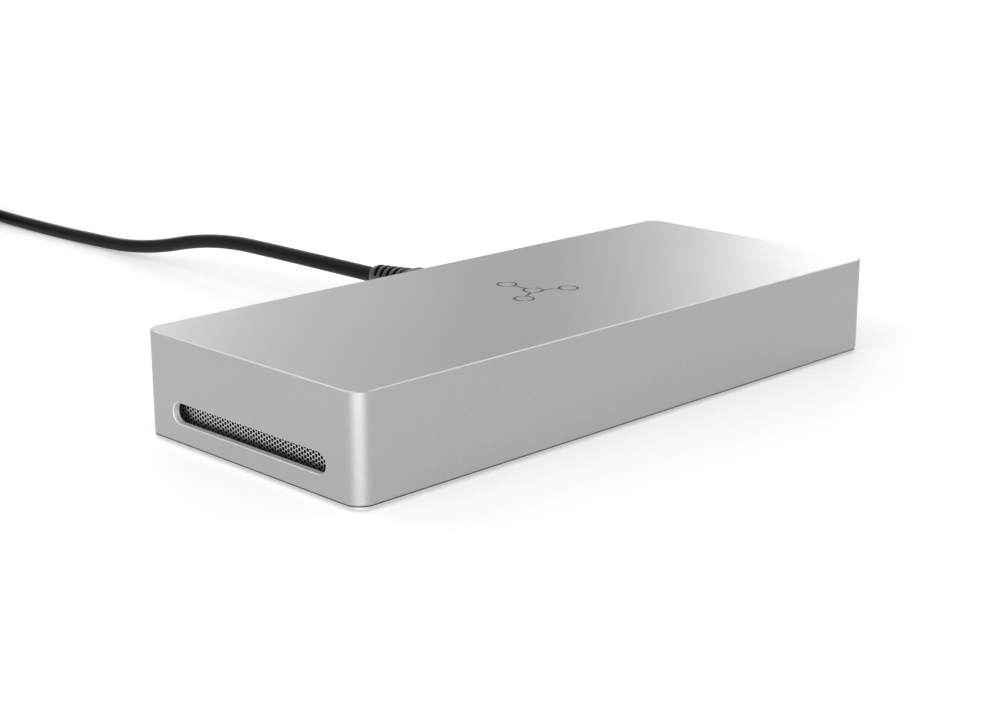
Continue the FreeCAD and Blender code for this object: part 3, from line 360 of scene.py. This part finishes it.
def make_materials():
    """Every finish, by the name of the record's material slot that it stands for."""
    facts_of = {
        "anodised_aluminium": dict(dark=(0.425, 0.43, 0.435), light=(0.465, 0.47, 0.475), metallic=1.0,
                                   roughness=(0.42, 0.44), blotch=30, grain=3800, depth=0.022 * MM),
        "cover_aluminium": dict(dark=grey(0.60), light=grey(0.66), metallic=1.0, roughness=(0.35, 0.42),
                                blotch=60, grain=3800, depth=0.01 * MM),
        "mesh_metal": dict(dark=grey(0.55), light=grey(0.66), metallic=1.0, roughness=(0.28, 0.36),
                           blotch=400, grain=9000, depth=0.006 * MM),
        "foot_rubber": dict(dark=grey(0.02), light=grey(0.03), metallic=0.0, roughness=(0.6, 0.75),
                            blotch=150, grain=5000, depth=0.03 * MM),
        "black_plastic": dict(dark=grey(0.005), light=grey(0.009), metallic=0.0, roughness=(0.42, 0.55),
                              blotch=200, grain=6000, depth=0.015 * MM),
        "plug_overmould": dict(dark=grey(0.046), light=grey(0.062), metallic=0.0, roughness=(0.36, 0.44),
                               blotch=200, grain=5000, depth=0.02 * MM),
        "cable_jacket": dict(dark=grey(0.004), light=grey(0.0065), metallic=0.0, roughness=(0.38, 0.46),
                             blotch=120, grain=3500, depth=0.02 * MM),
        "strap_rubber": dict(dark=grey(0.012), light=grey(0.03), metallic=0.0, roughness=(0.7, 0.85),
                             blotch=200, grain=4000, depth=0.06 * MM),
        "connector_steel": dict(dark=grey(0.50), light=grey(0.60), metallic=1.0, roughness=(0.22, 0.34),
                                blotch=300, grain=5000, depth=0.004 * MM, stretch=(1, 0.08, 1)),
        "screw_steel": dict(dark=grey(0.35), light=grey(0.45), metallic=1.0, roughness=(0.28, 0.4),
                            blotch=500, grain=6000, depth=0.006 * MM),
        "contact_gold": dict(dark=(0.72, 0.50, 0.18), light=(0.85, 0.62, 0.26), metallic=1.0,
                             roughness=(0.2, 0.3), blotch=800, grain=9000, depth=0.002 * MM),
        "circuit_board": dict(dark=(0.010, 0.045, 0.025), light=(0.015, 0.065, 0.035), metallic=0.0,
                              roughness=(0.25, 0.35), blotch=300, grain=2500, depth=0.01 * MM),
        "chip_package": dict(dark=grey(0.015), light=grey(0.025), metallic=0.0, roughness=(0.5, 0.6),
                             blotch=400, grain=8000, depth=0.008 * MM),
        "thermal_gel": dict(dark=(0.25, 0.33, 0.40), light=(0.32, 0.42, 0.50), metallic=0.0,
                            roughness=(0.6, 0.7), blotch=300, grain=3000, depth=0.03 * MM),
        "ferrite": dict(dark=grey(0.04), light=grey(0.06), metallic=0.2, roughness=(0.55, 0.7), blotch=300,
                        grain=6000, depth=0.02 * MM),
        "capacitor_can": dict(dark=grey(0.6), light=grey(0.7), metallic=1.0, roughness=(0.2, 0.3),
                              blotch=300, grain=4000, depth=0.004 * MM),
        "heat_aluminium": dict(dark=grey(0.45), light=grey(0.55), metallic=1.0, roughness=(0.35, 0.45),
                               blotch=200, grain=4000, depth=0.01 * MM, stretch=(0.05, 1, 1)),
        "polyester_film": dict(dark=grey(0.01), light=grey(0.015), metallic=0.0, roughness=(0.3, 0.4),
                               blotch=200, grain=1500, depth=0.01 * MM),
    }
    finishes = {name: surface(name, **facts) for name, facts in facts_of.items()}
    finish_cuts_and_shade_sign(finishes["anodised_aluminium"])
    dull_vent_walls(finishes["anodised_aluminium"])
    paint_inside_shade(finishes["anodised_aluminium"])
    paint_slot_jacket_and_shade(finishes["plug_overmould"])
    for name, level in SPECULAR.items():
        shader = finishes[name].node_tree.nodes["Principled BSDF"]
        shader.inputs["Specular IOR Level"].default_value = level
    return finishes


def dress_nodes(finishes):
    """Give every CAD node the finish that its slot names."""
    for entry in frame["record"]["subparts"]:
        mesh = frame["nodes"][entry["node"]].data
        mesh.materials.clear()
        mesh.materials.append(finishes[entry["material_slot"]])


# Host cable

CABLE_DIAMETER = 4.4 * MM
# Route points in millimetres, from the host boot to the coil and from the coil to the laptop boot.
LEAD = [
    (19.3, 82.3, 13.3),
    (19.3, 121.0, 13.3),
    (19.2, 160.0, 13.0),
    (18.8, 199.0, 3.2),
    (17.8, 236.0, 2.2),
    (17.1, 270.0, 2.2),
    (17.0, 298.0, 2.7),
]
TAIL = [
    (1.0, 342.4, 2.2),
    (-7.0, 345.0, 2.6),
    (-14.8, 345.6, 4.5),
    (-22.5, 345.6, 4.5),
]
POINTS_PER_TURN = 18
# Angle round the coil in degrees, radius and height in millimetres.
TRACKS = [
    (0, 28.6, 2.8),
    (320, 28.6, 2.8),
    (360, 24.2, 2.8),
    (630, 24.2, 2.8),
    (680, 24.2, 7.2),
    (1040, 24.2, 7.2),
    (1080, 28.6, 7.2),
    (1380, 28.6, 7.2),
    (1440, 33.2, 7.0),
    (1500, 33.2, 2.4),
]


def coil_turns():
    """Control points of the stored turns: two on the floor, two on top, and a short one back down."""
    low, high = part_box("host_cable_coil")
    centre = (low + high) / 2
    reach = 1 / math.cos(math.pi / POINTS_PER_TURN)
    step = 360 / POINTS_PER_TURN
    points = []
    for k in range(1, int(TRACKS[-1][0] / step) + 1):
        angle = k * step
        here = next(i for i in range(1, len(TRACKS)) if angle <= TRACKS[i][0] + 1e-6)
        (start, r0, z0), (stop, r1, z1) = TRACKS[here - 1], TRACKS[here]
        share = (angle - start) / (stop - start)
        share = share * share * (3 - 2 * share)
        radius = (r0 + (r1 - r0) * share) * reach
        turn = math.radians(angle)
        flat = Vector((math.cos(turn), math.sin(turn), 0)) * radius * MM
        points.append(Vector((centre.x, centre.y, (z0 + (z1 - z0) * share) * MM)) + flat)
    return points


def make_cable(finish):
    """The jacket between the two boots as one curve, in place of its CAD solids, and its first point."""
    lead, tail = ([Vector(point) * MM for point in points] for points in (LEAD, TAIL))
    route = lead + coil_turns() + tail
    data = bpy.data.curves.new("host_cord", "CURVE")
    data.dimensions = "3D"
    data.bevel_depth = CABLE_DIAMETER / 2
    data.bevel_resolution = 6
    data.resolution_u = 8
    spline = data.splines.new("NURBS")
    spline.points.add(len(route) - 1)
    for point, target in zip(spline.points, route):
        point.co = (*target, 1)
    spline.order_u = 3
    spline.use_endpoint_u = True
    data.materials.append(finish)
    cord = bpy.data.objects.new("host_cord", data)
    bpy.context.scene.collection.objects.link(cord)
    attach(cord, STATION)
    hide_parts("host_cable", "host_cable_coil", "host_cable_tail")
    return cord, route[0]


# Strain reliefs

# Distance from the cable end, half width and half height in millimetres.
BOOT_SHAPE = [
    (0.0, 2.25, 2.5),
    (0.35, 2.4, 2.75),
    (0.9, 2.65, 3.05),
    (1.6, 2.85, 3.3),
    (2.4, 3.0, 3.45),
    (16.1, 4.8, 4.4),
]
BOOT_SLOTS = 5
SLOT_HALF = 0.7
SLOT_PITCH = 2.75
FIRST_SLOT = 3.6
SLOT_END = math.radians(76)
SLOT_RIM = 0.1
SLOT_RIM_SHARES = ((2, 0.0), (1, 0.015), (0.2, 0.06))
SLOT_FLOOR_SHARES = (0.35, 0.65, 0.85, 0.96, 1.0)
SLOT_END_EASE = math.radians(2.5)
CORE_HALF = 2.4
AROUND = 180
SHARP_ANGLE = math.radians(35)


def oval_reach(angle, half_wide, half_high, power=2.3):
    """How far a rounded oblong reaches from its middle at an angle from its top."""
    across, up = abs(math.sin(angle)) / half_wide, abs(math.cos(angle)) / half_high
    return (across ** power + up ** power) ** (-1 / power)


def boot_half(place):
    """Half width and half height of the boot at a distance from its cable end."""
    for (start, wide, high), (stop, next_wide, next_high) in zip(BOOT_SHAPE, BOOT_SHAPE[1:]):
        if place <= stop:
            share = (place - start) / (stop - start)
            return wide + (next_wide - wide) * share, high + (next_high - high) * share
    return BOOT_SHAPE[-1][1:]


def boot_stations():
    """Sections along the boot: distance from its cable end, share of slot depth, distance off middle."""
    rim = [(SLOT_HALF + past * SLOT_RIM, share) for past, share in SLOT_RIM_SHARES]
    floor = [(off * SLOT_HALF, 1.0) for off in SLOT_FLOOR_SHARES]
    stations = [(place, 0.0, 0.0) for place, _, _ in BOOT_SHAPE]
    for k in range(BOOT_SLOTS):
        middle = FIRST_SLOT + k * SLOT_PITCH
        stations.append((middle, 1.0, 0.0))
        for side in (-1, 1):
            stations += [(middle + side * off, share, min(off, SLOT_HALF)) for off, share in rim + floor]
    return sorted(stations)


def slot_share(turned, off_middle, radius):
    """How much of the slot's depth is cut at an angle from the top, with the slot's ends rounded."""
    from_vertical = min(turned, math.pi - turned)
    shorter = SLOT_HALF - math.sqrt(SLOT_HALF ** 2 - off_middle ** 2)
    left = SLOT_END - shorter / radius - from_vertical
    return min(1.0, max(0.0, left / SLOT_END_EASE))


def boot_ring(place, share, off_middle):
    """Points round one section of the boot: across and up in millimetres, and share of the slot's depth."""
    half_wide, half_high = boot_half(place)
    ring = []
    for j in range(AROUND):
        angle = 2 * math.pi * j / AROUND
        turned = min(angle, 2 * math.pi - angle)
        reach = oval_reach(angle, half_wide, half_high)
        core = min(reach, oval_reach(angle, CORE_HALF, CORE_HALF))
        depth = share * slot_share(turned, off_middle, half_wide)
        reach += (core - reach) * depth
        ring.append((math.sin(angle) * reach, math.cos(angle) * reach, depth))
    return ring


def make_boot(name, node, finish, cable_end, towards_plug):
    """Tapered strain relief with slots over its top and under it, in place of the CAD one."""
    up = Vector((0, 0, 1))
    side = towards_plug.cross(up)
    mesh = bmesh.new()
    rings, depths = [], []
    for place, share, off_middle in boot_stations():
        middle = cable_end + towards_plug * place * MM
        ring = boot_ring(place, share, off_middle)
        rings.append([mesh.verts.new(middle + (side * x + up * z) * MM) for x, z, _ in ring])
        depths += [depth for _, _, depth in ring]
    for first, second in zip(rings, rings[1:]):
        for j in range(AROUND):
            following = (j + 1) % AROUND
            mesh.faces.new((first[j], first[following], second[following], second[j]))
    mesh.faces.new(rings[0][::-1])
    mesh.faces.new(rings[-1])
    bmesh.ops.recalc_face_normals(mesh, faces=mesh.faces)
    data = bpy.data.meshes.new(name)
    mesh.to_mesh(data)
    mesh.free()
    data.attributes.new("slot_depth", "FLOAT", "POINT").data.foreach_set("value", depths)
    data.shade_smooth()
    data.set_sharp_from_angle(angle=SHARP_ANGLE)
    data.materials.append(finish)
    boot = bpy.data.objects.new(name, data)
    bpy.context.scene.collection.objects.link(boot)
    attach(boot, STATION)
    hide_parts(node)
    return boot


def make_boots(finish):
    """One boot at each end of the cable, between the jacket and the plug's overmould."""
    low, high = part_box("host_plug_boot")
    host_end = Vector(((low.x + high.x) / 2, high.y, (low.z + high.z) / 2))
    host = make_boot("host_boot", "host_plug_boot", finish, host_end, Vector((0, -1, 0)))
    low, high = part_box("laptop_plug_boot")
    laptop_end = Vector((high.x, (low.y + high.y) / 2, (low.z + high.z) / 2))
    laptop = make_boot("laptop_boot", "laptop_plug_boot", finish, laptop_end, Vector((-1, 0, 0)))
    return host, laptop


def make_object():
    finishes = make_materials()
    dress_nodes(finishes)
    cord, leaves = make_cable(finishes["cable_jacket"])
    boots = make_boots(finishes["plug_overmould"])


make_camera()
make_world()
make_lights()
make_floor()
make_object()
bpy.context.scene.view_settings.view_transform = "Standard"
